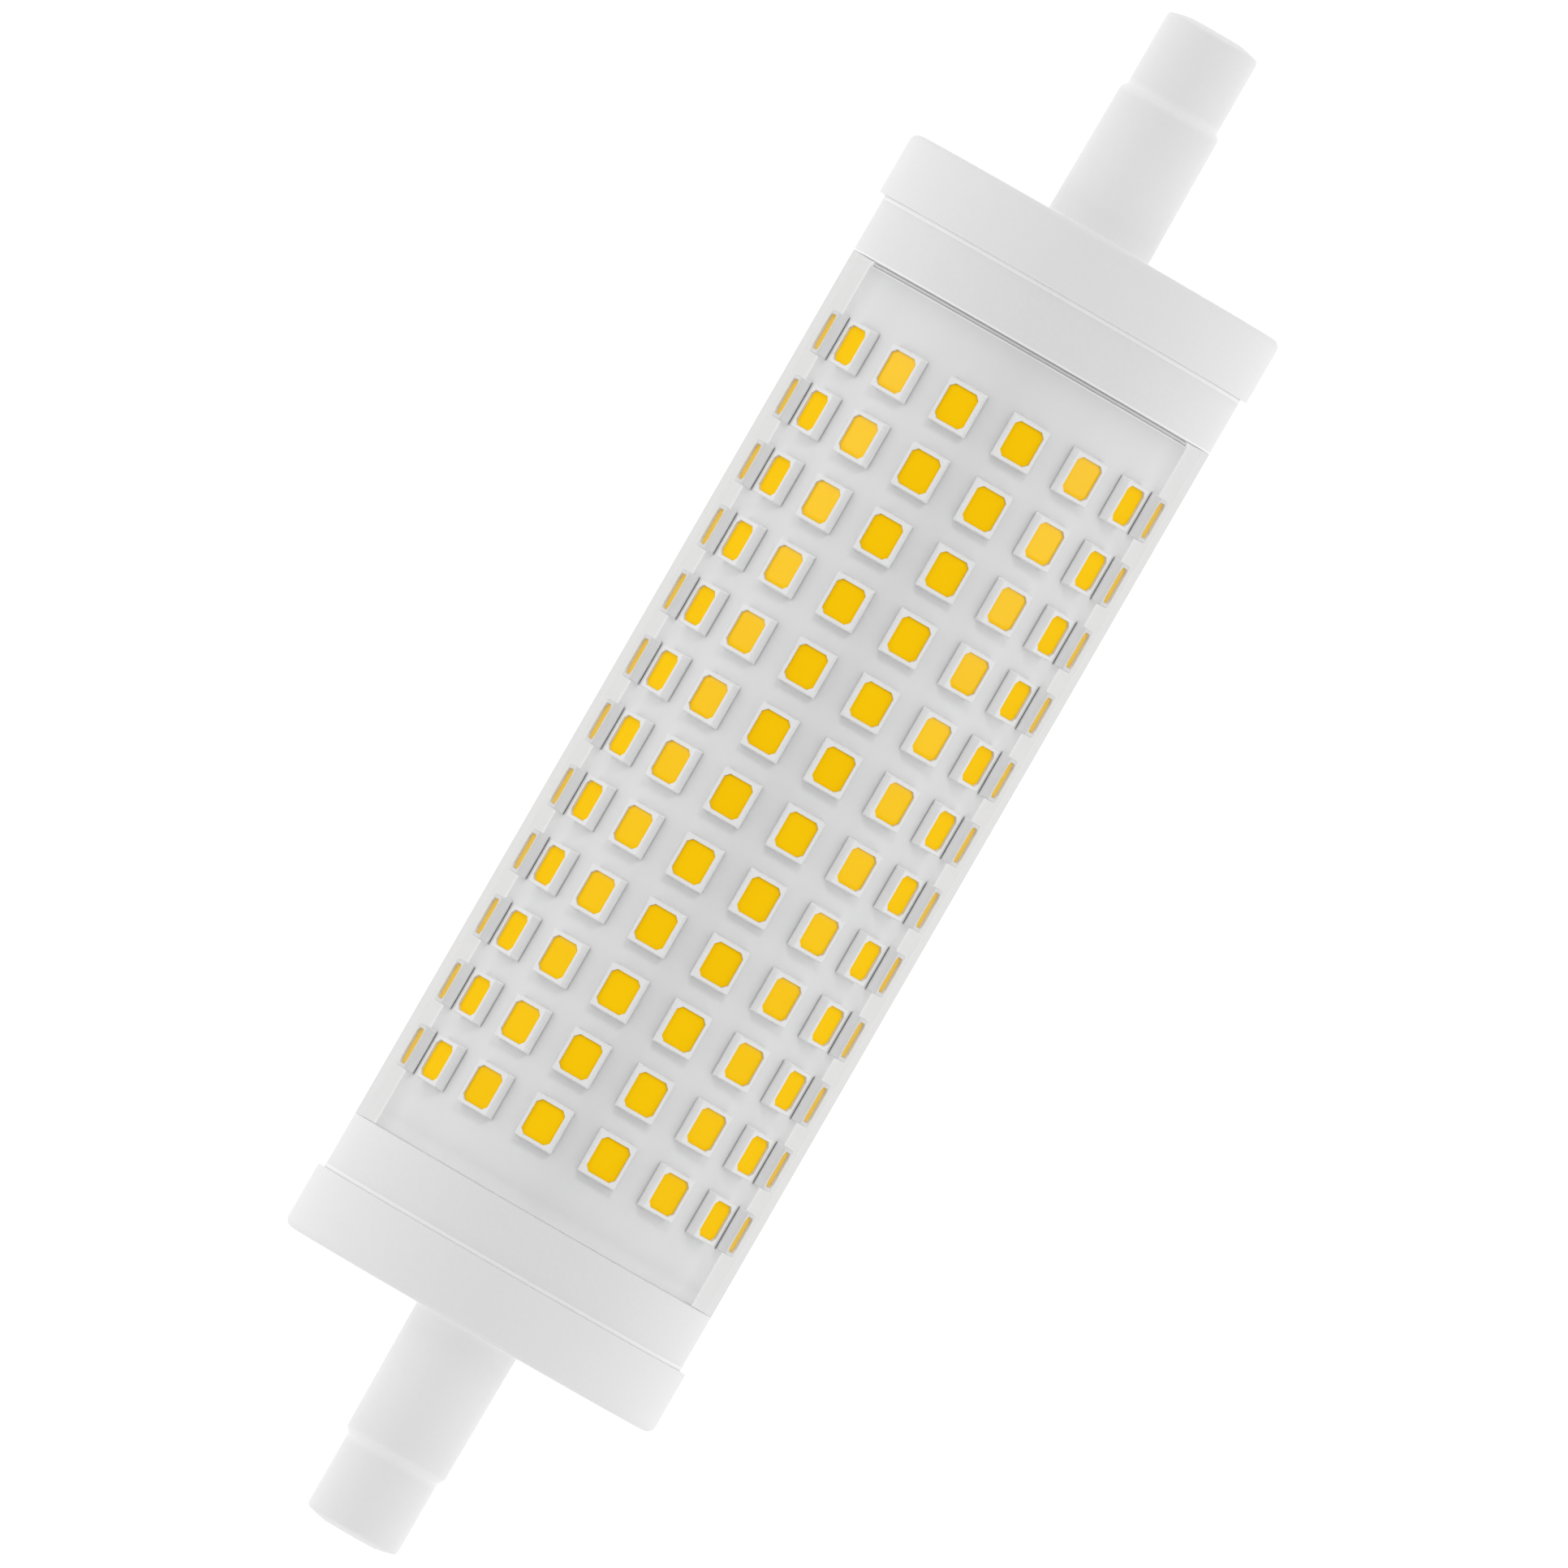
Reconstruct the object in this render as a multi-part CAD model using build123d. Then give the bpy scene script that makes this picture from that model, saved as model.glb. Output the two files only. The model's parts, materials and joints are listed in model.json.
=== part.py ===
from build123d import *
import math
import os

# A double-ended linear LED lamp. Sizes are in millimetres.
# The lamp's axis is X, Z is up, and the origin is the middle of the lamp.

# Overall sizes, read from the photograph and the standard for this cap
lamp_length = 118.0
contact_spacing = 114.2
cover_diameter = 27.9
cover_length = 76.26

# Clear cover
cover_wall = 0.5
cover_fit = 0.05

# End caps, from the flange outwards to the tip
flange_overhang = 0.45
flange_thickness = 4.7
flange_bevel = 0.6
plate_thickness = 1.5
neck_diameter = 7.7
neck_length = 9.77
neck_shoulder = 0.38
tip_diameter = 7.0
tip_crown = 0.45
recess_diameter = 3.6

# End caps, from the flange inwards along the cover
sleeve_reach = 4.23
sleeve_bevel = 0.6

# Contact pins
contact_diameter = 3.0
contact_fit = 0.05
contact_tail = 2.3

# LED packages, in rings around the board
columns = 16
rows = 12
row_margin = 5.88
package_width = 2.8
package_length = 3.3
package_thickness = 0.67
package_clear = 0.226
solder_film = 0.08
window_width = 2.34
window_length = 2.74
window_crown = 0.05

# LED board and the core tube under it
board_thickness = 0.5
board_bond = 0.05
board_seam = 0.4
board_gap = 0.37
board_butt = 0.05
core_wall = 1.0
core_fit = 0.1

# Driver board inside the core tube, with what it carries
driver_thickness = 1.0
driver_drop = 0.6
driver_margin = 7.0
driver_fit = 0.1
part_fit = 0.02
capacitor_diameter = 10.0
capacitor_length = 18.0
inductor_side = 9.0
inductor_height = 6.5
film_length = 5.0
film_width = 10.0
film_height = 8.0
fuse_length = 6.0
fuse_side = 2.5
rectifier_length = 6.4
rectifier_width = 5.2
rectifier_height = 2.4
chip_length = 4.9
chip_width = 3.9
chip_height = 1.5

# Flat leads from the contacts, and square pins to the LED board
lead_width = 1.6
lead_thickness = 0.3
lead_landing = 3.0
pin_side = 0.8
pin_spread = 6.0
pin_inset = 4.0
pin_slot_clear = 0.4

# Stations along the axis, measured from the middle
tip_end = lamp_length / 2
flange_back = cover_length / 2
flange_front = flange_back + flange_thickness
plate_inside = flange_front - plate_thickness
neck_end = flange_front + neck_length
tip_root = neck_end + neck_shoulder
sleeve_end = flange_back - sleeve_reach
contact_face = contact_spacing / 2
contact_end = plate_inside - contact_tail

# Radii from the cover inwards, so that each layer fits inside the one around it
cover_radius = cover_diameter / 2
cover_bore = cover_radius - cover_wall
flange_radius = cover_radius + flange_overhang
sleeve_radius = cover_bore - cover_fit
package_corner = cover_bore - package_clear
package_top = math.sqrt(package_corner**2 - (package_width / 2) ** 2)
package_base = package_top - package_thickness
board_radius = package_base - solder_film
board_bore = board_radius - board_thickness
core_radius = board_bore - board_bond
core_bore = core_radius - core_wall
cap_bore = core_radius + core_fit
contact_hole = contact_diameter / 2 + contact_fit

# Places on the LED board
column_step = 360 / columns
row_step = 2 * (sleeve_end - row_margin) / (rows - 1)
board_from = -sleeve_end + board_butt
board_to = sleeve_end - board_gap

# Places on the driver board, whose lower edges rest on the core tube's wall
driver_top = -driver_drop
driver_under = driver_top - driver_thickness
driver_half = math.sqrt(core_bore**2 - driver_under**2) - driver_fit
driver_end = plate_inside - driver_margin
seat = driver_top + part_fit


def turned(*points):
    """Turns a half section, given by its corners in X and radius, about the lamp's axis."""
    return revolve(make_face(Polyline(*points, close=True)), Axis.X)


def tube(x_from, x_to, outer, inner):
    """A plain tube on the lamp's axis."""
    return turned((x_from, inner), (x_from, outer), (x_to, outer), (x_to, inner))


def block(length, width, height, x, y, z):
    """A rectangular block whose underside is centred on the given point."""
    return Pos(x, y, z + height / 2) * Box(length, width, height)


def make_cover_tube():
    """The clear cover, which butts against both flanges."""
    return tube(-flange_back, flange_back, cover_radius, cover_bore)


def make_end_cap():
    """The moulded cap at the +X end: sleeve, flange, neck and tip in one piece, hollow inside."""
    recess = recess_diameter / 2
    neck = neck_diameter / 2
    tip = tip_diameter / 2
    return turned(
        (sleeve_end, cap_bore),
        (sleeve_end, sleeve_radius - sleeve_bevel),
        (sleeve_end + sleeve_bevel, sleeve_radius),
        (flange_back, sleeve_radius),
        (flange_back, flange_radius),
        (flange_front - flange_bevel, flange_radius),
        (flange_front, flange_radius - flange_bevel),
        (flange_front, neck),
        (neck_end, neck),
        (tip_root, tip),
        (tip_end - tip_crown, tip),
        (tip_end, recess),
        (contact_face, recess),
        (contact_face, contact_hole),
        (plate_inside, contact_hole),
        (plate_inside, cap_bore),
    )


def make_contact():
    """The contact pin at the +X end, from the bottom of the recess to the inside of the cap."""
    radius = contact_diameter / 2
    return turned((contact_end, 0), (contact_end, radius), (contact_face, radius), (contact_face, 0))


def make_core_tube():
    """The tube that carries the LED board, with slots that let the feed pins slide in."""
    core = tube(-plate_inside, plate_inside, core_radius, core_bore)
    clear = pin_side / 2 + pin_slot_clear
    slot_from = pin_station() - clear
    for y in pin_places():
        length = plate_inside - slot_from
        core -= block(length, 2 * clear, core_radius, slot_from + length / 2, y, -core_radius * 3 / 2)
    return core


def make_led_board():
    """The LED board: a thin sheet rolled round the core, with its seam underneath."""
    sheet = tube(board_from, board_to, board_radius, board_bore)
    return sheet - Pos(0, 0, -board_radius) * Box(lamp_length, board_seam, board_radius)


def make_package():
    """One LED package, a white block that faces +Z."""
    return block(package_length, package_width, package_thickness, 0, 0, package_base)


def make_phosphor():
    """The phosphor on one package: a slightly crowned field with four sloping sides."""
    x, y = window_length / 2, window_width / 2
    rim = [Vector(*corner, package_top) for corner in ((x, y), (-x, y), (-x, -y), (x, -y))]
    crown = Vector(0, 0, package_top + window_crown)
    faces = [Face(Wire.make_polygon(rim))]
    for a, b in zip(rim, rim[1:] + rim[:1]):
        faces.append(Face(Wire.make_polygon([a, b, crown])))
    return Solid(Shell(faces))


def make_column(piece, column):
    """A row of copies of a piece along the board, turned to its place around the axis."""
    turn = Rot(X=column_step * (column + 0.5))
    first = -row_step * (rows - 1) / 2
    return [turn * Pos(first + row_step * row, 0, 0) * piece for row in range(rows)]


def make_driver_board():
    """The driver's circuit board, which slides into the core tube."""
    return block(2 * driver_end, 2 * driver_half, driver_thickness, 0, 0, driver_under)


def make_capacitor():
    """The bulk capacitor, a can that lies along the board."""
    radius = capacitor_diameter / 2
    return Pos(driver_end / 2, 0, seat + radius) * Rot(Y=90) * Cylinder(radius, capacitor_length)


def make_inductor():
    """The inductor, a square shielded block."""
    return block(inductor_side, inductor_side, inductor_height, -driver_end / 12, 0, seat)


def make_film_capacitor():
    """The film capacitor, a box across the board."""
    return block(film_length, film_width, film_height, -driver_end / 2, 0, seat)


def make_fuse():
    """The fuse, a small square rod beside the incoming lead."""
    return block(fuse_length, fuse_side, fuse_side, -driver_end * 3 / 4, driver_half / 2, seat)


def make_rectifier():
    """The bridge rectifier, a flat block."""
    x = -driver_end * 3 / 4
    return block(rectifier_length, rectifier_width, rectifier_height, x, -driver_half / 2, seat)


def make_driver_chip():
    """The driver chip, a small flat block."""
    return block(chip_length, chip_width, chip_height, -driver_end / 12, driver_half * 3 / 4, seat)


def make_lead():
    """The flat lead at the +X end, from the contact pin to the top of the driver board."""
    length = contact_end - driver_end + lead_landing
    return block(length, lead_width, lead_thickness, contact_end - length / 2, 0, seat)


def pin_station():
    """Where the feed pins stand along the axis."""
    return driver_end - pin_inset


def pin_places():
    """Where the two feed pins stand across the lamp, one on each side of the seam."""
    return [-pin_spread / 2, pin_spread / 2]


def make_feed_pin(y):
    """A pin from the underside of the driver board through the core tube to the LED board."""
    reach = math.sqrt(board_bore**2 - (pin_spread / 2 + pin_side / 2) ** 2) - part_fit
    length = driver_under - part_fit + reach
    return block(pin_side, pin_side, length, pin_station(), y, -reach)


def other_end(piece):
    """The same piece at the -X end."""
    return Rot(Z=180) * piece


cap = make_end_cap()
contact = make_contact()
lead = make_lead()
package = make_package()
phosphor = make_phosphor()

nodes = {
    "cover_tube": make_cover_tube(),
    "end_cap_right": cap,
    "end_cap_left": other_end(cap),
    "contact_right": contact,
    "contact_left": other_end(contact),
    "core_tube": make_core_tube(),
    "led_board": make_led_board(),
    "driver_board": make_driver_board(),
    "bulk_capacitor": make_capacitor(),
    "inductor": make_inductor(),
    "film_capacitor": make_film_capacitor(),
    "fuse": make_fuse(),
    "rectifier": make_rectifier(),
    "driver_chip": make_driver_chip(),
    "supply_lead_right": lead,
    "supply_lead_left": other_end(lead),
}
for name, y in zip(("feed_pin_minus", "feed_pin_plus"), pin_places()):
    nodes[name] = make_feed_pin(y)
for column in range(columns):
    number = f"{column + 1:02d}"
    nodes[f"led_column_{number}"] = Compound(children=make_column(package, column))
    nodes[f"phosphor_column_{number}"] = Compound(children=make_column(phosphor, column))

os.makedirs("parts", exist_ok=True)
for name, piece in nodes.items():
    export_step(piece, f"parts/{name}.step")
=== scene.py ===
# %% [markdown]
# # A double-ended linear LED lamp
#
# The lamp is a clear tube between two white moulded end caps. Inside it, a white board is rolled
# round a core, and 192 small LED packages sit on the board in rings. The CAD part gives every piece
# its place, so this lesson only dresses it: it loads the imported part, replaces the plain solids that
# show with smoother surfaces, and gives each piece a finish. Pieces are drawn in millimetres and
# turned into metres when a mesh is made. Only the lights are placed in metres.

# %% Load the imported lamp
import json
import math

import bpy
import numpy as np
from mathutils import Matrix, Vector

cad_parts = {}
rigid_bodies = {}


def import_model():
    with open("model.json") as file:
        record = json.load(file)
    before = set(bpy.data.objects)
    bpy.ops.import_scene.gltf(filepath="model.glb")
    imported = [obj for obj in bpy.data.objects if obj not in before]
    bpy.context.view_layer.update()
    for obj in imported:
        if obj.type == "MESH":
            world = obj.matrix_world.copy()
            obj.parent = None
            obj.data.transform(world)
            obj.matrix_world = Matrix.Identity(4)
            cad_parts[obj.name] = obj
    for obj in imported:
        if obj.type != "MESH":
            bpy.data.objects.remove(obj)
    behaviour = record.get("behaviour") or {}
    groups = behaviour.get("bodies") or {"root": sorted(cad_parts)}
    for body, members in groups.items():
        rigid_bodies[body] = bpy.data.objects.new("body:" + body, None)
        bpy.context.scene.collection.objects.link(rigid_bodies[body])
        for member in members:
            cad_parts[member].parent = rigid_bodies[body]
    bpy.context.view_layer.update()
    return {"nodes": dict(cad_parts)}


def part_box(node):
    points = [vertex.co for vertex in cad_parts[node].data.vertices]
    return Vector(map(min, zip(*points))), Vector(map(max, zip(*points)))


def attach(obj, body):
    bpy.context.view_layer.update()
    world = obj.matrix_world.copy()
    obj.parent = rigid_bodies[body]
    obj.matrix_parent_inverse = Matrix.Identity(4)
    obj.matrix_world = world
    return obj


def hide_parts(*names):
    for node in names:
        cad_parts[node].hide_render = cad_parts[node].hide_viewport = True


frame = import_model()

mm_per_m = 1000
print("CAD nodes:", len(frame["nodes"]))

# %% [markdown]
# ## Turned surfaces
#
# Caps, contacts and cover are all round, so each can be drawn as half a section and turned about the
# lamp's axis. A bevel modifier could soften the edges, but real mouldings have a different round on
# every edge. So a section is a list of corners, each with its own bend, and the arcs are worked out
# for all corners at once.

# %% Rounded sections
def rounded_section(corners, steps=7):
    """A closed outline from rows of (x, radius, bend).

    Each corner becomes an arc of its bend that touches both neighbouring lines. The arc's middle lies
    on the corner's bisector, bend / sin(half the corner's angle) away, and the arc's points turn
    evenly from one line to the other.
    """
    rows = np.asarray(corners, float)
    corner, bend = rows[:, :2], rows[:, 2:]
    back, ahead = np.roll(corner, 1, 0) - corner, np.roll(corner, -1, 0) - corner
    back /= np.linalg.norm(back, axis=1, keepdims=True)
    ahead /= np.linalg.norm(ahead, axis=1, keepdims=True)
    half = np.arccos(np.clip((back * ahead).sum(1, keepdims=True), -1, 1)) / 2
    bisector = (back + ahead) / np.linalg.norm(back + ahead, axis=1, keepdims=True)
    middle = corner + bisector * bend / np.sin(half)
    first = (corner + back * bend / np.tan(half) - middle)[:, None]
    last = (corner + ahead * bend / np.tan(half) - middle)[:, None]
    sweep = (math.pi - 2 * half)[:, None]
    share = np.linspace(0, 1, steps)[None, :, None]
    arc = (np.sin((1 - share) * sweep) * first + np.sin(share * sweep) * last) / np.sin(sweep)
    return (middle[:, None] + arc).reshape(-1, 2)


test_section = rounded_section([(0, 1, 0.1), (1, 1, 0.1), (1, 2, 0.1), (0, 2, 0.1)])
print("a square with round corners has", len(test_section), "points")

# %% [markdown]
# A section is then carried round the axis. The grid has one parameter along the section and one for
# the angle. The sign of the enclosed volume tells whether the faces look outwards, and turns them
# round if they don't.

# %% Turn a section about the lamp's axis
def around(section, angles):
    """Point (x, r) of the section goes to (x, r sin a, r cos a) for each angle a.

    Gives the points and a grid of their numbers, with a row for each angle.
    """
    x, r, a = section[:, 0][None], section[:, 1][None], angles[:, None]
    points = np.stack([x + 0 * a, r * np.sin(a), r * np.cos(a)], -1).reshape(-1, 3)
    return points, np.arange(len(points)).reshape(len(angles), -1)


def full_turn(segments):
    """The angles 2 pi i / segments for i from 0 to segments - 1."""
    return np.arange(segments) * 2 * math.pi / segments


def look_inwards(points, quads):
    """Whether the volume within the quads, summed up from tetrahedra to the origin, is negative."""
    a, b, c, d = (points[quads[:, k]] for k in range(4))
    return (np.cross(a, b) * c).sum() + (np.cross(a, c) * d).sum() <= 0


def turned(section, segments=144):
    """Carries a closed section through a full turn and joins the last angle to the first."""
    points, grid = around(section, full_turn(segments))
    across = np.roll(grid, -1, 1)
    corners = [grid, across, np.roll(across, -1, 0), np.roll(grid, -1, 0)]
    quads = np.stack(corners, -1).reshape(-1, 4)
    return points, quads[:, ::-1] if look_inwards(points, quads) else quads


ring_points, ring_quads = turned(test_section, 12)
print("a test ring has", len(ring_points), "points and", len(ring_quads), "quads")

# %% [markdown]
# Every finished piece is put into the scene in the same way: its mesh in metres, its object at the
# origin, riding on the lamp's one body and standing for the CAD nodes that it replaces. Weighted
# normals keep the long plain walls flat beside their small rounds.

# %% Put a piece into the scene
sharp_angle = math.radians(40)


def put_piece(name, points, faces, finishes, replaces, smooth=True, band=None):
    """Makes a mesh object from points in mm, gives it its finishes and hands it to the frame.

    The band says for each face which of the finishes it takes.
    """
    mesh = bpy.data.meshes.new(name)
    mesh.from_pydata((np.asarray(points) / mm_per_m).tolist(), [], [list(face) for face in faces])
    for finish in finishes:
        mesh.materials.append(finish)
    mesh.polygons.foreach_set("use_smooth", np.full(len(mesh.polygons), smooth))
    if band is not None:
        mesh.polygons.foreach_set("material_index", np.asarray(band, np.int32))
    piece = bpy.data.objects.new(name, mesh)
    bpy.context.scene.collection.objects.link(piece)
    if smooth:
        mesh.set_sharp_from_angle(angle=sharp_angle)
        even = piece.modifiers.new("even_normals", "WEIGHTED_NORMAL")
        even.keep_sharp = True
    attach(piece, "root")
    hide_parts(*replaces)
    print(name, "has", len(mesh.polygons), "faces")
    return piece


print("edges of more than", round(math.degrees(sharp_angle)), "degrees stay sharp")

# %% [markdown]
# ## Finishes
#
# A finish is a small tree of nodes. The same few nodes come up again and again: a noise of a given
# grain, a ramp from one range to another, a sum. So each gets a helper that makes the node, joins it
# to what feeds it and hands on its output.

# %% Helpers for node trees
def new_material(name):
    """A material with nodes, and its node tree."""
    material = bpy.data.materials.new(name)
    material.use_nodes = True
    return material, material.node_tree


def rgba(tone):
    """A grey level or a colour, with full alpha."""
    return (tone, tone, tone, 1) if np.isscalar(tone) else (*tone, 1)


def object_place(tree):
    """Where a point lies, in Object coordinates."""
    return tree.nodes.new("ShaderNodeTexCoord").outputs["Object"]


def split(tree, vector):
    """The X, Y and Z of a vector."""
    parts = tree.nodes.new("ShaderNodeSeparateXYZ")
    tree.links.new(vector, parts.inputs["Vector"])
    return parts.outputs


def noise(tree, place, size):
    """Noise with grains of about the given size in mm."""
    grains = tree.nodes.new("ShaderNodeTexNoise")
    grains.inputs["Scale"].default_value = mm_per_m / size
    grains.inputs["Detail"].default_value = 2
    tree.links.new(place, grains.inputs["Vector"])
    return grains.outputs["Fac"]


def ramp(tree, value, start, stop, low=0.0, high=1.0):
    """Low up to start, high from stop on, and a straight line between them."""
    line = tree.nodes.new("ShaderNodeMapRange")
    line.inputs["From Min"].default_value, line.inputs["From Max"].default_value = start, stop
    line.inputs["To Min"].default_value, line.inputs["To Max"].default_value = low, high
    tree.links.new(value, line.inputs["Value"])
    return line.outputs["Result"]


def reckon(tree, operation, *terms):
    """A math node, whose terms are numbers to set or outputs to join."""
    node = tree.nodes.new("ShaderNodeMath")
    node.operation = operation
    for socket, term in zip(node.inputs, terms):
        if np.isscalar(term):
            socket.default_value = term
        else:
            tree.links.new(term, socket)
    return node.outputs[0]


print("mid grey with full alpha:", rgba(0.5))

# %% [markdown]
# Nothing on the lamp is one flat colour when seen close up: mouldings have a fine spark texture,
# ceramic has grain, solder mask has small waves. One function covers them. A noise of a given grain,
# read in Object coordinates, mixes two near tones and drives the gloss and a slight relief. A second,
# slower noise shifts the tone over larger patches.

# %% A finish with grain
def grain_finish(name, dark, light, grain, patch, gloss, relief=0.0, own_shade=None, **constants):
    """A material whose colour, roughness and relief follow noise.

    Dark and light are grey levels or colours, grain and patch are sizes in mm, and gloss is a range
    of roughness. If own_shade names an attribute, the tone is half the noise's plus the attribute.
    """
    material, tree = new_material(name)
    nodes, link = tree.nodes, tree.links.new
    body = nodes["Principled BSDF"]
    place = object_place(tree)
    fine, slow = noise(tree, place, grain), noise(tree, place, patch)
    # One noise keeps to about 0.3 to 0.7, and the sum of two to about 0.7 to 1.3.
    tone = ramp(tree, reckon(tree, "ADD", fine, slow), 0.7, 1.3)
    if own_shade:
        attribute = nodes.new("ShaderNodeAttribute")
        attribute.attribute_name = own_shade
        tone = reckon(tree, "MULTIPLY_ADD", tone, 0.5, attribute.outputs["Fac"])
    mix = nodes.new("ShaderNodeMix")
    mix.data_type = "RGBA"
    mix.inputs["A"].default_value, mix.inputs["B"].default_value = rgba(dark), rgba(light)
    link(tone, mix.inputs["Factor"])
    link(mix.outputs["Result"], body.inputs["Base Color"])
    link(ramp(tree, fine, 0.3, 0.7, *gloss), body.inputs["Roughness"])
    if relief:
        bump = nodes.new("ShaderNodeBump")
        bump.inputs["Strength"].default_value = relief
        bump.inputs["Distance"].default_value = grain / 4 / mm_per_m
        link(fine, bump.inputs["Height"])
        link(bump.outputs["Normal"], body.inputs["Normal"])
    for socket, value in constants.items():
        body.inputs[socket.replace("_", " ")].default_value = value
    return material


def moulding(name, dark, light, shine):
    """Satin white plastic with a fine spark texture."""
    return grain_finish(name, dark, light, 0.35, 9, (0.34, 0.37), Specular_IOR_Level=shine)


white_moulding = moulding("white_moulding", 0.716, 0.730, 0.15)
print("first finish:", white_moulding.name)

# %% [markdown]
# White plastic and white mask let some light wander inside them, which would fill the shade in their
# corners. True scattering would be slow and noisy here. So another function paints light and shade into
# a finish's colour: it multiplies the colour by plain ramps along the lamp's axis, lifting it where a
# corner lies in shade. The necks of the caps, the flanges' back edges and one lip get a paler white
# with
# ramps of its own: painted light against the shade beside the flange and at the joint, a painted
# highlight at the shoulder, and a lower gain again on the tip.

# %% Painted light and shade along the axis
def shaded_along(material, ramps, mirrored=False):
    """Painted light and shade: the base colour times ramps along X, rows of (from mm, to mm, gain
    before, gain after).

    Mirrored ramps run outwards from the lamp's middle to both ends.
    """
    tree = material.node_tree
    colour = tree.nodes["Principled BSDF"].inputs["Base Color"]
    station = split(tree, object_place(tree))["X"]
    if mirrored:
        station = reckon(tree, "ABSOLUTE", station)
    for start, stop, before, after in ramps:
        gain = tree.nodes.new("ShaderNodeVectorMath")
        gain.operation = "SCALE"
        tree.links.new(colour.links[0].from_socket, gain.inputs["Vector"])
        factor = ramp(tree, station, start / mm_per_m, stop / mm_per_m, before, after)
        tree.links.new(factor, gain.inputs["Scale"])
        tree.links.new(gain.outputs["Vector"], colour)
    return material


# Painted light and shade: the ramps lift the colour at the neck's root and along the neck against the
# flange's shade, add a painted highlight at the shoulder and lower it again on the tip.
neck_ramps = [
    (42.8, 44.3, 1.06, 1.0),  # the root, beside the flange
    (42.8, 51.6, 1.085, 0.975),  # the whole neck
    (52.4, 52.75, 1.0, 1.065),  # the shoulder
    (53.0, 53.5, 1.0, 0.94),  # the tip
]
painted_light_moulding = shaded_along(moulding("white_neck", 0.760, 0.774, 0.15), neck_ramps, mirrored=True)
print(painted_light_moulding.name, "has", len(neck_ramps), "ramps")

# %% [markdown]
# ## End caps
#
# Each cap is one moulding: a sleeve that plugs into the clear tube, a broad flange, a slim neck with a
# little draft, and a tip with a domed end. The tip has a recess that hides the contact. The sizes that
# the CAD boxes give are read from them, and the rest are written out.

# %% Stations and radii of a cap
tip_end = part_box("end_cap_right")[1].x * mm_per_m
sleeve_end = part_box("end_cap_right")[0].x * mm_per_m
flange_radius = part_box("end_cap_right")[1].y * mm_per_m
cover_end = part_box("cover_tube")[1].x * mm_per_m
cover_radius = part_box("cover_tube")[1].y * mm_per_m
contact_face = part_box("contact_right")[1].x * mm_per_m
flange_front = cover_end + 4.70
plate_inside = 41.33
neck_end, tip_root = 52.60, 52.98
sleeve_radius, cap_bore = 13.40, 11.95
neck_root_radius, neck_end_radius = 3.90, 3.81
tip_radius, dome_radius = 3.50, 2.65
recess_radius, pin_hole_radius = 1.80, 1.55
print("sleeve, flange and tip at", np.round([sleeve_end, cover_end, tip_end], 2).tolist())

# %% [markdown]
# The CAD cap has single bevels to save facets; here each edge gets the round that its light line in
# the picture suggests. The neck narrows towards the tip, so that it leaves the mould. At the end where
# the board stops short, a small step on the sleeve fills most of the gap, with a fine notch behind it.
# At the other end a thin lip closes the joint. Lip, neck and the flange's back edge take the paler
# white, painted light that cancels the shade beside the flange and at the joint.

# %% The sections of the caps
lip_from, lip_radius = sleeve_end - 0.045, 12.39
plain_end = [
    (lip_from, cap_bore, 0.01),
    (lip_from, lip_radius, 0.01),
    (sleeve_end, lip_radius, 0.01),
]
step_from, step_radius = sleeve_end - 0.35, 12.30
notch_from, notch_to, notch_radius = sleeve_end - 0.14, sleeve_end - 0.10, 12.10
stepped_end = [
    (step_from, cap_bore, 0.02),
    (step_from, step_radius, 0.02),
    (notch_from, step_radius, 0.01),
    (notch_from, notch_radius, 0.01),
    (notch_to, notch_radius, 0.01),
    (notch_to, step_radius, 0.01),
    (sleeve_end, step_radius, 0.02),
]
cap_corners = [
    (sleeve_end, sleeve_radius, 0.15),
    (cover_end, sleeve_radius, 0.30),
    (cover_end, flange_radius, 0.02),
    (flange_front, flange_radius, 0.60),
    (flange_front, neck_root_radius, 0.25),
    (neck_end, neck_end_radius, 0.20),
    (tip_root, tip_radius, 0.12),
    (tip_end - 0.40, tip_radius, 0.35),
    (tip_end - 0.16, dome_radius, 1.60),
    (tip_end, recess_radius, 0.12),
    (contact_face, recess_radius, 0.05),
    (contact_face, pin_hole_radius, 0.05),
    (plate_inside, pin_hole_radius, 0.05),
    (plate_inside, cap_bore, 0.30),
]
cap_sections = {"right": stepped_end + cap_corners, "left": plain_end + cap_corners}
print("corners:", {side: len(section) for side, section in cap_sections.items()})

# %% The moulded end caps
ends = {"right": np.array([1, 1, 1]), "left": np.array([-1, -1, 1])}
back_edge = 0.06
for side, flip in ends.items():
    cap_points, cap_quads = turned(rounded_section(cap_sections[side]))
    middle = cap_points[cap_quads].mean(1)
    station, radius = middle[:, 0], np.hypot(middle[:, 1], middle[:, 2])
    on_neck = station > flange_front + 0.01
    on_back_edge = (station < cover_end + back_edge) & (radius > cover_radius)
    on_lip = (station < sleeve_end) & (side == "left")
    # The band gives neck, back edge and lip the paler white of painted light.
    put_piece(
        f"moulded_cap_{side}", cap_points * flip, cap_quads, [white_moulding, painted_light_moulding],
        [f"end_cap_{side}"], band=on_neck | on_back_edge | on_lip,
    )

# %% [markdown]
# ## Contacts
#
# A nickel-plated pin fills the hole in each tip, and the holder's spring presses on its face at the
# bottom of the recess. The face is slightly domed, so its section starts and ends on the axis, and
# the two ends are closed by fans of triangles that meet in one point.

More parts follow.
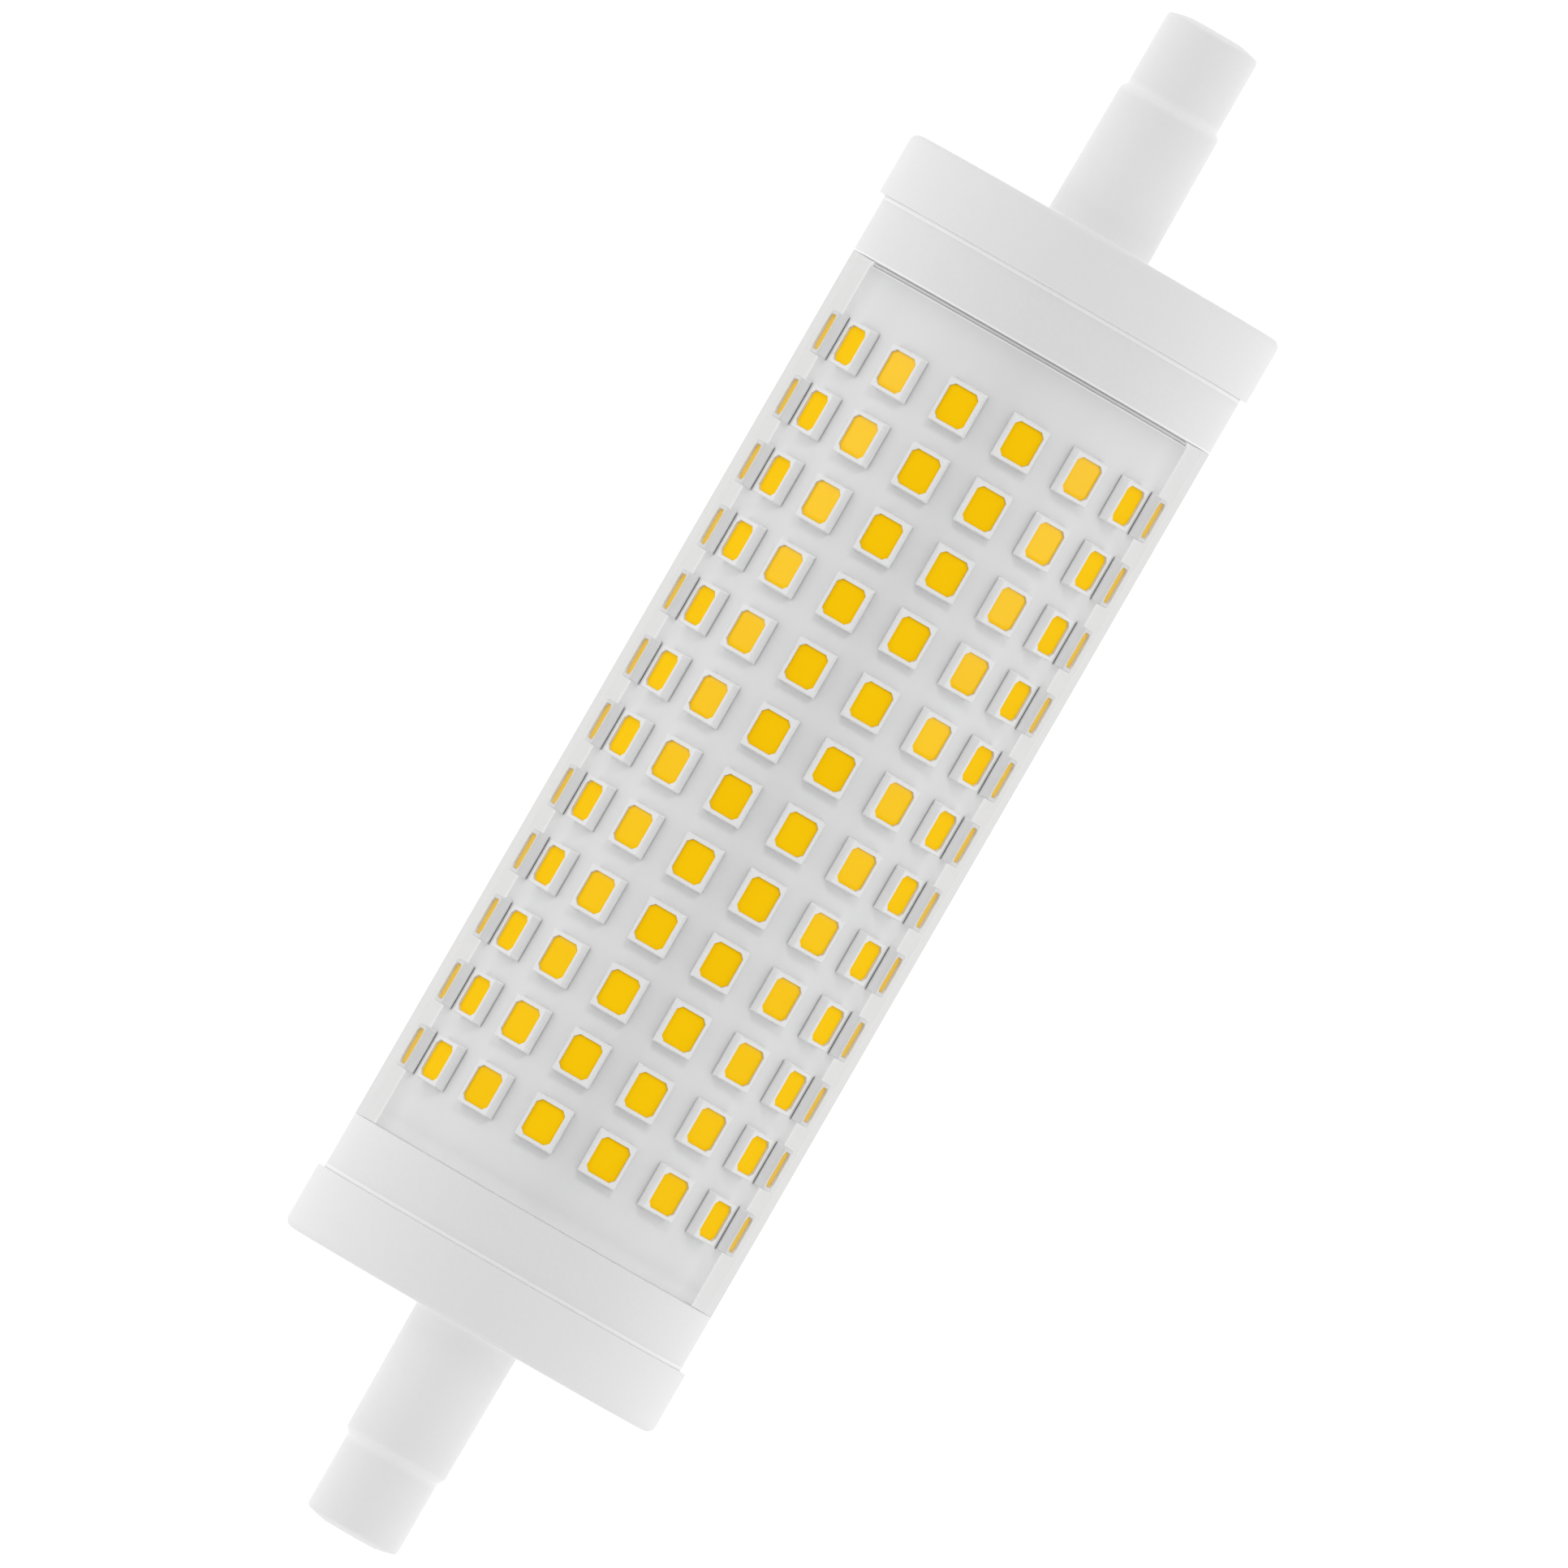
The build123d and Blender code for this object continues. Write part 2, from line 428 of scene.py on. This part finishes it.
# %% Turn a section that meets the axis
def turned_solid(section, segments=64):
    """As turned(), but the section runs from axis to axis, and each end is one pole with a fan."""
    rings, grid = around(section[1:-1], full_turn(segments))
    after = np.roll(grid, -1, 0)
    quads = np.stack([grid[:, :-1], grid[:, 1:], after[:, 1:], after[:, :-1]], -1).reshape(-1, 4)
    poles = [(section[0, 0], 0, 0), (section[-1, 0], 0, 0)]
    start, end = np.full(segments, len(rings)), np.full(segments, len(rings) + 1)
    first_fan = np.stack([start, grid[:, 0], after[:, 0]], -1)
    last_fan = np.stack([end, after[:, -1], grid[:, -1]], -1)
    faces = quads.tolist() + first_fan.tolist() + last_fan.tolist()
    if look_inwards(rings, quads):
        faces = [face[::-1] for face in faces]
    return np.concatenate([rings, poles]), faces


test_points, test_faces = turned_solid(np.array([[0, 0], [0, 1], [1, 1], [1, 0]]), 12)
print("a test pin has", len(test_points), "points and", len(test_faces), "faces")

# %% The contact pins
contact_metal = grain_finish(
    "contact_metal", (0.62, 0.60, 0.56), (0.78, 0.76, 0.71), 0.25, 1.5, (0.18, 0.34), 0.05,
    Metallic=1.0,
)
contact_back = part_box("contact_right")[0].x * mm_per_m
pin_radius, face_dome, edge_round, back_bevel = 1.50, 0.12, 0.12, 0.15
face_radius = pin_radius - edge_round
bow = np.linspace(0, 1, 9)
face = np.stack([contact_face - face_dome * bow**2, face_radius * bow], -1)
edge_station = contact_face - face_dome - edge_round * (1 - np.cos(bow * math.pi / 2))
edge = np.stack([edge_station, face_radius + edge_round * np.sin(bow * math.pi / 2)], -1)
back = [
    (contact_back + back_bevel, pin_radius),
    (contact_back, pin_radius - back_bevel),
    (contact_back, 0.0),
]
pin_points, pin_faces = turned_solid(np.concatenate([face, edge[1:], back]))
for side, flip in ends.items():
    put_piece(
        f"contact_pin_{side}", pin_points * flip, pin_faces, [contact_metal],
        [f"contact_{side}"],
    )

# %% [markdown]
# ## Clear cover
#
# The cover is a drawn tube of clear plastic with a thin wall. True refraction through so thin a wall
# hardly bends anything, and it would make the LEDs behind it noisy. So the outer wall is a see-through
# surface that takes a little light where it is seen edge-on, as a long path through plastic does, with
# a faint gloss on top. The bore and the ends are a clearer surface of the same kind.

# %% The cover's finishes
def clear_finish(name, facing_tint, edge_tint, shine):
    """See-through plastic: its tint and its gloss both grow with Layer Weight towards the edges."""
    material, tree = new_material(name)
    nodes, link = tree.nodes, tree.links.new
    nodes.remove(nodes["Principled BSDF"])
    weight = nodes.new("ShaderNodeLayerWeight")
    weight.inputs["Blend"].default_value = 0.5
    slant = weight.outputs["Facing"]
    tint = nodes.new("ShaderNodeValToRGB")
    facing, edge = tint.color_ramp.elements
    facing.position, facing.color = 0.40, rgba(facing_tint)
    edge.position, edge.color = 0.57, rgba(edge_tint)
    link(slant, tint.inputs["Fac"])
    through = nodes.new("ShaderNodeBsdfTransparent")
    link(tint.outputs["Color"], through.inputs["Color"])
    # Drawing the tube leaves streaks that are long in X and fine across it.
    drawn = nodes.new("ShaderNodeMapping")
    drawn.inputs["Scale"].default_value = (60, 1500, 1500)
    link(object_place(tree), drawn.inputs["Vector"])
    streak = nodes.new("ShaderNodeTexNoise")
    streak.inputs["Scale"].default_value = 1.0
    link(drawn.outputs["Vector"], streak.inputs["Vector"])
    gloss = nodes.new("ShaderNodeBsdfGlossy")
    link(ramp(tree, streak.outputs["Fac"], 0.0, 1.0, 0.02, 0.12), gloss.inputs["Roughness"])
    mix = nodes.new("ShaderNodeMixShader")
    link(ramp(tree, slant, 0.5, 1.0, 0.0, shine), mix.inputs["Fac"])
    link(through.outputs["BSDF"], mix.inputs[1])
    link(gloss.outputs["BSDF"], mix.inputs[2])
    link(mix.outputs["Shader"], nodes["Material Output"].inputs["Surface"])
    return material


cover_finishes = [
    clear_finish("clear_cover_outside", (0.995, 0.996, 0.996), 0.852, 0.06),
    clear_finish("clear_cover_bore", 0.998, 0.99, 0.01),
    moulding("sleeve_white", 0.695, 0.715, 0.1),
    # Painted light: a paler white for the cut ends and the rim.
    moulding("cut_end_white", 0.82, 0.84, 0.1),
]
print("cover finishes:", [finish.name for finish in cover_finishes])

# %% [markdown]
# Refraction shows in one place only. A white sleeve that touches the bore looks as wide as the tube
# itself, as the thread in a thermometer does, so no sleeve edge can be seen in the picture. The outer
# wall therefore takes the sleeve's white wherever a sleeve is behind it. At the cut ends and along a
# narrow rim at the end where the board stops short it is painted a shade paler: painted light against
# the shade at the flange's step, and a painted highlight on the rim. A thin white collar closes the
# wall where that white begins.

# %% The tube and its collars
cover_wall, cut_end_width = 0.5, 0.30
bore_radius, cut_end = cover_radius - cover_wall, cover_end - cut_end_width
rim_lead, rim_trail = 0.04, 0.07
rim_from, rim_to = sleeve_end - rim_lead, sleeve_end + rim_trail
cover_corners = [
    (-cover_end, bore_radius, 0.40),
    (-cover_end, cover_radius, 0.06),
    (cover_end, cover_radius, 0.06),
    (cover_end, bore_radius, 0.40),
]
# The outer wall's line starts after the arcs of two corners. Each border on it parts two finishes.
arc_points = 4
borders = [(x, cover_radius) for x in (-cut_end, -sleeve_end, rim_from, rim_to, cut_end)]
arcs = rounded_section(cover_corners, arc_points)
cover_points, cover_quads = turned(np.insert(arcs, 2 * arc_points, borders, axis=0), 192)

collar_bore, collar_radius, collar_end = 13.41, 13.94, sleeve_end + 0.06
collar_corners = [
    (sleeve_end, collar_bore, 0.02),
    (sleeve_end, collar_radius, 0.02),
    (collar_end, collar_radius, 0.02),
    (collar_end, collar_bore, 0.02),
]
collar_points, collar_quads = turned(rounded_section(collar_corners, 3), 192)
print("cover quads:", len(cover_quads), "and", len(collar_quads), "in each collar")

# %% The clear cover
outside, bore, sleeve, cut = range(len(cover_finishes))
middle = cover_points[cover_quads].mean(1)
from_middle, wall_radius = np.abs(middle[:, 0]), np.hypot(middle[:, 1], middle[:, 2])
on_cut_end_painted_light = (from_middle > cut_end) & (wall_radius > bore_radius + 0.05)
on_bore = wall_radius < cover_radius - 0.02
on_rim_painted_light = (middle[:, 0] > rim_from) & (middle[:, 0] < rim_to)
on_sleeve = from_middle > sleeve_end
# The cut ends and the rim take the paler white of painted light.
cover_band = np.select([on_cut_end_painted_light, on_bore, on_rim_painted_light, on_sleeve], [cut, bore, cut, sleeve], outside)
right_collar, left_collar = collar_points - [rim_lead, 0, 0], collar_points * ends["left"]
right_start = len(cover_points)
left_start = right_start + len(collar_points)
put_piece(
    "clear_tube",
    np.concatenate([cover_points, right_collar, left_collar]),
    np.concatenate([cover_quads, collar_quads + right_start, collar_quads + left_start]),
    cover_finishes, ["cover_tube"],
    band=np.concatenate([cover_band, np.full(2 * len(collar_quads), sleeve)]),
)

# %% [markdown]
# ## Rolled LED board
#
# The board is a thin sheet of aluminium with white solder mask, rolled round the core so that its two
# long edges meet in a seam underneath. It is a flat rounded strip section carried round almost a full
# turn, with both ends closed. Near both ends its mask is painted lighter: painted light that cancels
# the shade at the joints with the white caps.

# %% The rolled board
def rolled(section, from_angle, to_angle, segments=160):
    """As turned(), but from one angle to another, with each end closed by one face."""
    points, grid = around(section, np.linspace(from_angle, to_angle, segments))
    across = np.roll(grid, -1, 1)
    quads = np.stack([grid[:-1], across[:-1], across[1:], grid[1:]], -1).reshape(-1, 4)
    faces = quads.tolist() + [grid[0][::-1].tolist(), grid[-1].tolist()]
    if look_inwards(points, quads):
        faces = [face[::-1] for face in faces]
    return points, faces


board_low, board_high = (corner.x * mm_per_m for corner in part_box("led_board"))
board_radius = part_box("led_board")[1].y * mm_per_m
board_thickness, half_seam = 0.5, 0.2
# Painted light: the ramps lift the mask near both ends of the board, against the shade beside the caps.
board_end_painted_light = [
    (board_low, board_low + 1.1, 1.22, 1.0),
    (board_high - 0.17, board_high - 0.09, 1.0, 1.17),
]
board_white = shaded_along(
    grain_finish("board_white", 0.617, 0.633, 0.5, 12, (0.28, 0.32)), board_end_painted_light
)
board_corners = [
    (board_low, board_radius - board_thickness, 0.03),
    (board_low, board_radius, 0.03),
    (board_high, board_radius, 0.03),
    (board_high, board_radius - board_thickness, 0.03),
]
seam_angle = math.asin(half_seam / board_radius)
board_points, board_faces = rolled(
    rounded_section(board_corners, 3), -math.pi + seam_angle, math.pi - seam_angle
)
put_piece("rolled_board", board_points, board_faces, [board_white], ["led_board"])

# %% [markdown]
# ## LED packages
#
# A package is a small white block with cut corners, a soft top edge and an eight-sided window sunk into
# its top. It stands on a thin pad, with a fine dark crevice between the two. There are 192 of them, so
# each has only a few dozen faces. One template is a stack of eight-sided rings; a column is twelve
# copies along the axis, turned to its place.

# %% Rings, stacks and columns
sides = 8


def eight_sides(length, width, cut, height):
    """Eight points of a rectangle with cut corners, counter-clockwise seen from above."""
    along = np.array([1, 1, -1, -1, -1, -1, 1, 1]) * length / 2
    across = np.array([1, 1, 1, 1, -1, -1, -1, -1]) * width / 2
    on_side = np.array([1, 0, 0, 1, 1, 0, 0, 1])
    along = along - np.sign(along) * cut * (1 - on_side)
    across = across - np.sign(across) * cut * on_side
    return np.stack([along, across, np.full(sides, height)], -1)


def stack(rings):
    """Joins rings of eight points, lowest first, by quads, and closes both ends with one face each."""
    points = np.concatenate(rings)
    grid = np.arange(len(points)).reshape(-1, sides)
    ahead = np.roll(grid, -1, 1)
    quads = np.stack([grid[:-1], ahead[:-1], ahead[1:], grid[1:]], -1).reshape(-1, 4)
    return points, quads, [grid[0][::-1], grid[-1]]


rows, columns = 12, 16
row_step = 5.0945
stations = (np.arange(rows) - (rows - 1) / 2) * row_step


def column_of(template, column):
    """Twelve copies of a template: shifted to the stations along X, then turned about X from above."""
    points, quads, closing = template
    turn = math.radians((column + 0.5) * 360 / columns)
    sine, cosine = math.sin(turn), math.cos(turn)
    x = points[None, :, 0] + stations[:, None]
    y = np.broadcast_to(points[:, 1], x.shape)
    z = np.broadcast_to(points[:, 2], x.shape)
    placed = np.stack([x, y * cosine - z * sine, y * sine + z * cosine], -1)
    shift = (np.arange(rows) * len(points))[:, None, None]
    faces = (quads[None] + shift).reshape(-1, 4).tolist()
    faces += (np.stack(closing)[None] + shift).reshape(-1, sides).tolist()
    return placed.reshape(-1, 3), faces


print("rows at", np.round(stations, 2).tolist())

# %% [markdown]
# The sides of a package and its foot are painted a shade paler than its top: painted light, as with the
# necks, that cancels the shade where package and board meet.

# %% The package columns
package_base, package_top = 12.48, 13.15
package = stack([
    eight_sides(3.34, 2.84, 0.06, package_base - 0.075),  # the pad
    eight_sides(3.34, 2.84, 0.06, package_base - 0.05),
    eight_sides(3.16, 2.66, 0.06, package_base - 0.045),  # the crevice
    eight_sides(3.30, 2.80, 0.06, package_base),  # the block
    eight_sides(3.28, 2.78, 0.06, package_base + 0.36),
    eight_sides(3.24, 2.74, 0.06, package_top - 0.04),
    eight_sides(3.16, 2.66, 0.08, package_top),
    eight_sides(2.72, 2.30, 0.33, package_top),  # the window
    eight_sides(2.69, 2.27, 0.33, package_top - 0.18),
])
package_finishes = [
    grain_finish("package_white", 0.68, 0.70, 0.12, 4, (0.45, 0.55), 0.02),
    grain_finish("package_foot", 0.86, 0.90, 0.08, 3, (0.30, 0.45), 0.05),
    grain_finish("package_side", 0.79, 0.82, 0.12, 4, (0.45, 0.55), 0.02),
]
# The foot and side finishes are painted light against the shade at the package's foot.
top, foot, side_wall = range(len(package_finishes))
foot_bands, side_bands = 3, 5
ring_of_quad = np.arange(len(package[1])) // sides
low_first = [ring_of_quad < foot_bands, ring_of_quad < side_bands]
finish_of_quad = np.select(low_first, [foot, side_wall], top)
package_band = np.concatenate([np.tile(finish_of_quad, rows), np.full(2 * rows, top)])
for column in range(columns):
    points, faces = column_of(package, column)
    number = f"{column + 1:02d}"
    put_piece(
        f"packages_{number}", points, faces, package_finishes,
        [f"led_column_{number}"], smooth=False, band=package_band,
    )

# %% [markdown]
# ## Phosphor
#
# The yellow in each window is silicone filled with phosphor powder. It lies just below the rim, very
# slightly crowned, and it is a strong warm yellow with a fine grain. Each fill differs a little from
# the next, so every package carries its own shade number on the mesh, and the finish reads it.

# %% The phosphor fills
phosphor_yellow = grain_finish(
    "phosphor_yellow", (0.855, 0.502, 0.001), (0.880, 0.532, 0.002), 0.06, 5, (0.20, 0.26), 0.02,
    own_shade="fill_shade", Specular_IOR_Level=0.02,
)
phosphor = stack([
    eight_sides(2.62, 2.20, 0.33, package_top - 0.179),
    eight_sides(2.68, 2.26, 0.33, package_top - 0.165),
    eight_sides(2.20, 1.78, 0.28, package_top - 0.155),
])
shades = np.random.default_rng(7).uniform(0.0, 0.5, (columns, rows))
for column in range(columns):
    points, faces = column_of(phosphor, column)
    number = f"{column + 1:02d}"
    fill = put_piece(
        f"phosphor_{number}", points, faces, [phosphor_yellow],
        [f"phosphor_column_{number}"], smooth=False,
    )
    shade = fill.data.attributes.new("fill_shade", "FLOAT", "POINT")
    shade_of_point = np.repeat(shades[column], len(phosphor[0]))
    shade.data.foreach_set("value", shade_of_point.astype(np.float32))

# %% [markdown]
# ## Core and driver
#
# The core tube lies behind the board, the step and the lip, and the driver is inside it, so neither
# shows. Their CAD shapes are right as they are, so they keep them and only get finishes: unglazed
# ceramic, green board, dark sleeve, pressed ferrite, resin box, glazed rod, matt black chips and tinned
# metal.

# %% Finishes for the CAD nodes that stay
chip_black = grain_finish("chip_black", 0.02, 0.045, 0.1, 2, (0.50, 0.70), 0.20)
pin_metal = grain_finish(
    "pin_metal", (0.66, 0.62, 0.48), (0.76, 0.72, 0.57), 0.2, 2, (0.25, 0.40), 0.05, Metallic=1.0
)
kept = {
    "core_tube": grain_finish(
        "core_ceramic", (0.84, 0.84, 0.83), (0.90, 0.90, 0.89), 0.3, 6, (0.60, 0.75), 0.15
    ),
    "driver_board": grain_finish(
        "circuit_board", (0.05, 0.19, 0.08), (0.07, 0.25, 0.12), 0.6, 5, (0.30, 0.45), 0.10
    ),
    "bulk_capacitor": grain_finish(
        "capacitor_can", (0.08, 0.09, 0.11), (0.12, 0.13, 0.15), 0.5, 6, (0.25, 0.40), 0.05
    ),
    "inductor": grain_finish(
        "ferrite", (0.07, 0.07, 0.08), (0.12, 0.12, 0.13), 0.2, 3, (0.55, 0.80), 0.30
    ),
    "film_capacitor": grain_finish(
        "film_case", (0.42, 0.27, 0.04), (0.48, 0.33, 0.06), 0.4, 4, (0.20, 0.35), 0.05
    ),
    "fuse": grain_finish(
        "fuse_body", (0.57, 0.57, 0.55), (0.64, 0.64, 0.62), 0.3, 3, (0.15, 0.30), 0.05
    ),
    "rectifier": chip_black,
    "driver_chip": chip_black,
    "supply_lead_right": pin_metal,
    "supply_lead_left": pin_metal,
    "feed_pin_minus": pin_metal,
    "feed_pin_plus": pin_metal,
}
for node, finish in kept.items():
    frame["nodes"][node].data.materials.clear()
    frame["nodes"][node].data.materials.append(finish)
print("CAD nodes kept with new finishes:", sorted(kept))

# %% [markdown]
# ## Floor and light
#
# The picture is a cut-out on white with no shadow, so the floor is a pale sheet that glows a little, as
# a light table does.

# %% The floor
floor_gap, floor_half = 0.05, 1500
floor_level = -flange_radius - floor_gap
floor_corners = floor_half * np.array([[-1, -1, 0], [1, -1, 0], [1, 1, 0], [-1, 1, 0]])
floor_points = (floor_corners + [0, 0, floor_level]) / mm_per_m
floor_mesh = bpy.data.meshes.new("floor")
floor_mesh.from_pydata(floor_points.tolist(), [], [[0, 1, 2, 3]])
floor_finish = grain_finish(
    "pale_floor", 0.12, 0.13, 4, 60, (0.7, 0.8), Emission_Color=(1, 1, 1, 1), Emission_Strength=0.95
)
floor_finish.cycles.emission_sampling = "NONE"
floor_mesh.materials.append(floor_finish)
floor = bpy.data.objects.new("floor", floor_mesh)
bpy.context.scene.collection.objects.link(floor)
print("floor at", round(floor_level, 2), "mm")

# %% [markdown]
# The light is a soft dome that is bright on both long sides of the lamp and dims towards a band over
# the lamp's axis, where the camera looks from. That is what makes the middle of each round wall a shade
# greyer than its sides. One side is a touch brighter than the other.

# %% The dome of light
dome_strength, side_lean = 1.67, 0.015
stops = [
    (0.0, 0.09), (0.12, 0.34), (0.24, 0.46), (0.36, 0.61),
    (0.5, 0.67), (0.65, 0.74), (0.8, 0.80), (1.0, 0.92),
]
world = bpy.data.worlds.new("soft_dome")
world.use_nodes = True
tree = world.node_tree
sky = tree.nodes["Background"]
way_out = tree.nodes.new("ShaderNodeTexCoord").outputs["Generated"]
sideways = split(tree, way_out)["Y"]
glow = tree.nodes.new("ShaderNodeValToRGB")
for position, level in stops[1:-1]:
    glow.color_ramp.elements.new(position)
for element, (position, level) in zip(glow.color_ramp.elements, stops):
    element.color = rgba(level)
tree.links.new(reckon(tree, "ABSOLUTE", sideways), glow.inputs["Fac"])
tree.links.new(glow.outputs["Color"], sky.inputs["Color"])
strength = reckon(tree, "MULTIPLY_ADD", sideways, dome_strength * side_lean, dome_strength)
tree.links.new(strength, sky.inputs["Strength"])
bpy.context.scene.world = world
print("dome strength", dome_strength, "with", len(stops), "stops")

# %% [markdown]
# One softbox rakes over the LED field from the lamp's upper end. It draws the soft shadow below each
# package and the thin dark edge inside each window. It is kept to the board and what stands on it, so
# that the flanges throw no shadow on the necks and the sleeves throw none on the board.

# %% The softbox above
def group_of(name, *starts):
    """A collection of the pieces whose names start with one of the given words."""
    group = bpy.data.collections.new(name)
    for piece in bpy.data.objects:
        if piece.name.startswith(starts):
            group.objects.link(piece)
    return group


softbox_radiance, softbox_size = 9.6, 0.30
softbox_distance, softbox_lean = 1.2, math.radians(38)
led_field = group_of("led_field", "rolled_board", "packages_", "phosphor_")
lamp = bpy.data.lights.new("softbox", "AREA")
lamp.shape, lamp.size = "SQUARE", softbox_size
lamp.energy = softbox_radiance * math.pi * softbox_size**2
softbox = bpy.data.objects.new("softbox", lamp)
way_up = np.array([math.sin(softbox_lean), 0, math.cos(softbox_lean)])
softbox.location = softbox_distance * way_up
softbox.rotation_euler = (0, softbox_lean, 0)
softbox.visible_camera = False
bpy.context.scene.collection.objects.link(softbox)
softbox.light_linking.receiver_collection = led_field
softbox.light_linking.blocker_collection = led_field

# %% [markdown]
# Two strips stand low on both sides of the lamp's upper half, where the third and the sixth column
# mirror them to the camera. Only the resin's gloss sees them. They lay a pale sheen on those columns
# that fades towards the lower end.

# %% The strips beside the lamp
strip_radiance, strip_length, strip_width = 37, 0.20, 0.10
strip_station, strip_reach, strip_angle = 0.112, 0.40, math.radians(67.5)
column_side, column_height = 0.007, 0.011
strip_side = column_side + strip_reach * math.sin(strip_angle)
strip_height = column_height + strip_reach * math.cos(strip_angle)
resin = group_of("resin", "phosphor_")
for side, way in (("plus", 1), ("minus", -1)):
    lamp = bpy.data.lights.new(f"strip_{side}", "AREA")
    lamp.shape, lamp.size, lamp.size_y = "RECTANGLE", strip_length, strip_width
    lamp.energy = strip_radiance * math.pi * strip_length * strip_width
    strip = bpy.data.objects.new(f"strip_{side}", lamp)
    strip.location = (strip_station, way * strip_side, strip_height)
    strip.rotation_euler = (-way * strip_angle, 0, 0)
    strip.visible_camera = strip.visible_diffuse = False
    bpy.context.scene.collection.objects.link(strip)
    strip.light_linking.receiver_collection = resin

# %% The picture's tone
bpy.context.scene.view_settings.view_transform = "Standard"
print("view transform:", bpy.context.scene.view_settings.view_transform)

# %% [markdown]
# ## Camera
#
# The picture is taken straight from above, through a lens so long that nothing gets smaller with
# distance, and the lamp's axis is turned 30 degrees from upright. The frame is 106.6 mm wide at the
# lamp's middle, so the lens follows from the distance. The lamp's middle lies a pixel or two off the
# picture's.

# %% The camera
picture_pixels, pixels_per_mm = 1932, 18.12
pixels_right, pixels_down = 1.8, 0.95
camera_turn, distance = math.radians(-60), 4400.0
frame_width = picture_pixels / pixels_per_mm
camera = bpy.data.objects.new("camera", bpy.data.cameras.new("camera"))
camera.data.sensor_width = 36
camera.data.lens = camera.data.sensor_width * distance / frame_width
camera.data.clip_end = 10
camera.rotation_euler = (0, 0, camera_turn)
right = np.array([math.cos(camera_turn), math.sin(camera_turn), 0])
up = np.array([-right[1], right[0], 0])
aside = (right * pixels_right - up * pixels_down) / pixels_per_mm
camera.location = (aside + [0, 0, distance]) / mm_per_m
bpy.context.scene.collection.objects.link(camera)
bpy.context.scene.camera = camera
print("lens", round(camera.data.lens, 1), "mm at", distance / mm_per_m, "m")
